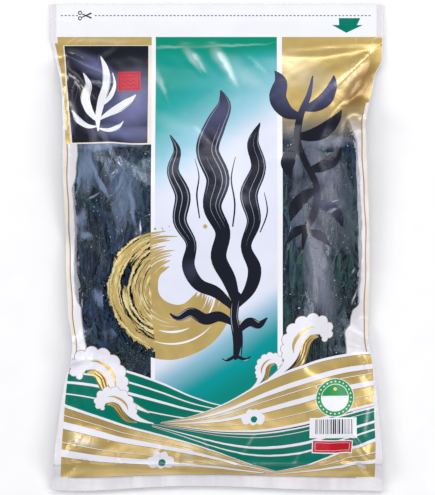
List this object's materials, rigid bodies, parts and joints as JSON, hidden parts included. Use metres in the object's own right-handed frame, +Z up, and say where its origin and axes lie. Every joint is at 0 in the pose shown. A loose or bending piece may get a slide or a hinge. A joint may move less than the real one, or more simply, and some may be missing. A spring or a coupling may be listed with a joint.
{
  "type": "bag of salted kombu",
  "caption": "Sealed clear zip pouch with a printed front, filled with shredded salted kombu and lying on its back.",
  "frame": {"origin": "under the middle of the pouch, on the surface it lies on", "axes": "+X across the pouch to the right of its printed front, +Y from the bottom seal to the header, +Z up out of the printed front"},
  "size_m": [0.24, 0.35, 0.0439],
  "materials": {
    "printed_film": "gloss film, printed in gold, green, white and ink",
    "clear_film": "clear gloss film",
    "zip_plastic": "clear extruded plastic",
    "kombu": "moist, dark green-black, slightly glossy"
  },
  "bodies": {
    "root": {"front_film": "printed_film", "back_film": "clear_film", "zip_groove_rail": "zip_plastic", "zip_rib_rail": "zip_plastic", "kombu_hank_01": "kombu", "kombu_hank_02": "kombu", "kombu_hank_03": "kombu", "kombu_hank_04": "kombu", "kombu_hank_05": "kombu", "kombu_hank_06": "kombu", "kombu_hank_07": "kombu", "kombu_hank_08": "kombu", "kombu_hank_09": "kombu", "kombu_hank_10": "kombu", "kombu_hank_11": "kombu", "kombu_hank_12": "kombu", "kombu_hank_13": "kombu", "kombu_hank_14": "kombu", "kombu_hank_15": "kombu", "kombu_hank_16": "kombu", "kombu_hank_17": "kombu", "kombu_hank_18": "kombu", "kombu_hank_19": "kombu", "kombu_hank_20": "kombu", "kombu_hank_21": "kombu", "kombu_hank_22": "kombu", "kombu_hank_23": "kombu", "kombu_hank_24": "kombu", "kombu_hank_25": "kombu", "kombu_hank_26": "kombu", "kombu_hank_27": "kombu", "kombu_hank_28": "kombu", "kombu_hank_29": "kombu", "kombu_hank_30": "kombu", "kombu_hank_31": "kombu", "kombu_hank_32": "kombu", "kombu_hank_33": "kombu", "kombu_hank_34": "kombu", "kombu_hank_35": "kombu", "kombu_hank_36": "kombu", "kombu_hank_37": "kombu", "kombu_hank_38": "kombu", "kombu_hank_39": "kombu", "kombu_hank_40": "kombu", "kombu_hank_41": "kombu", "kombu_hank_42": "kombu"}
  },
  "joints": []
}
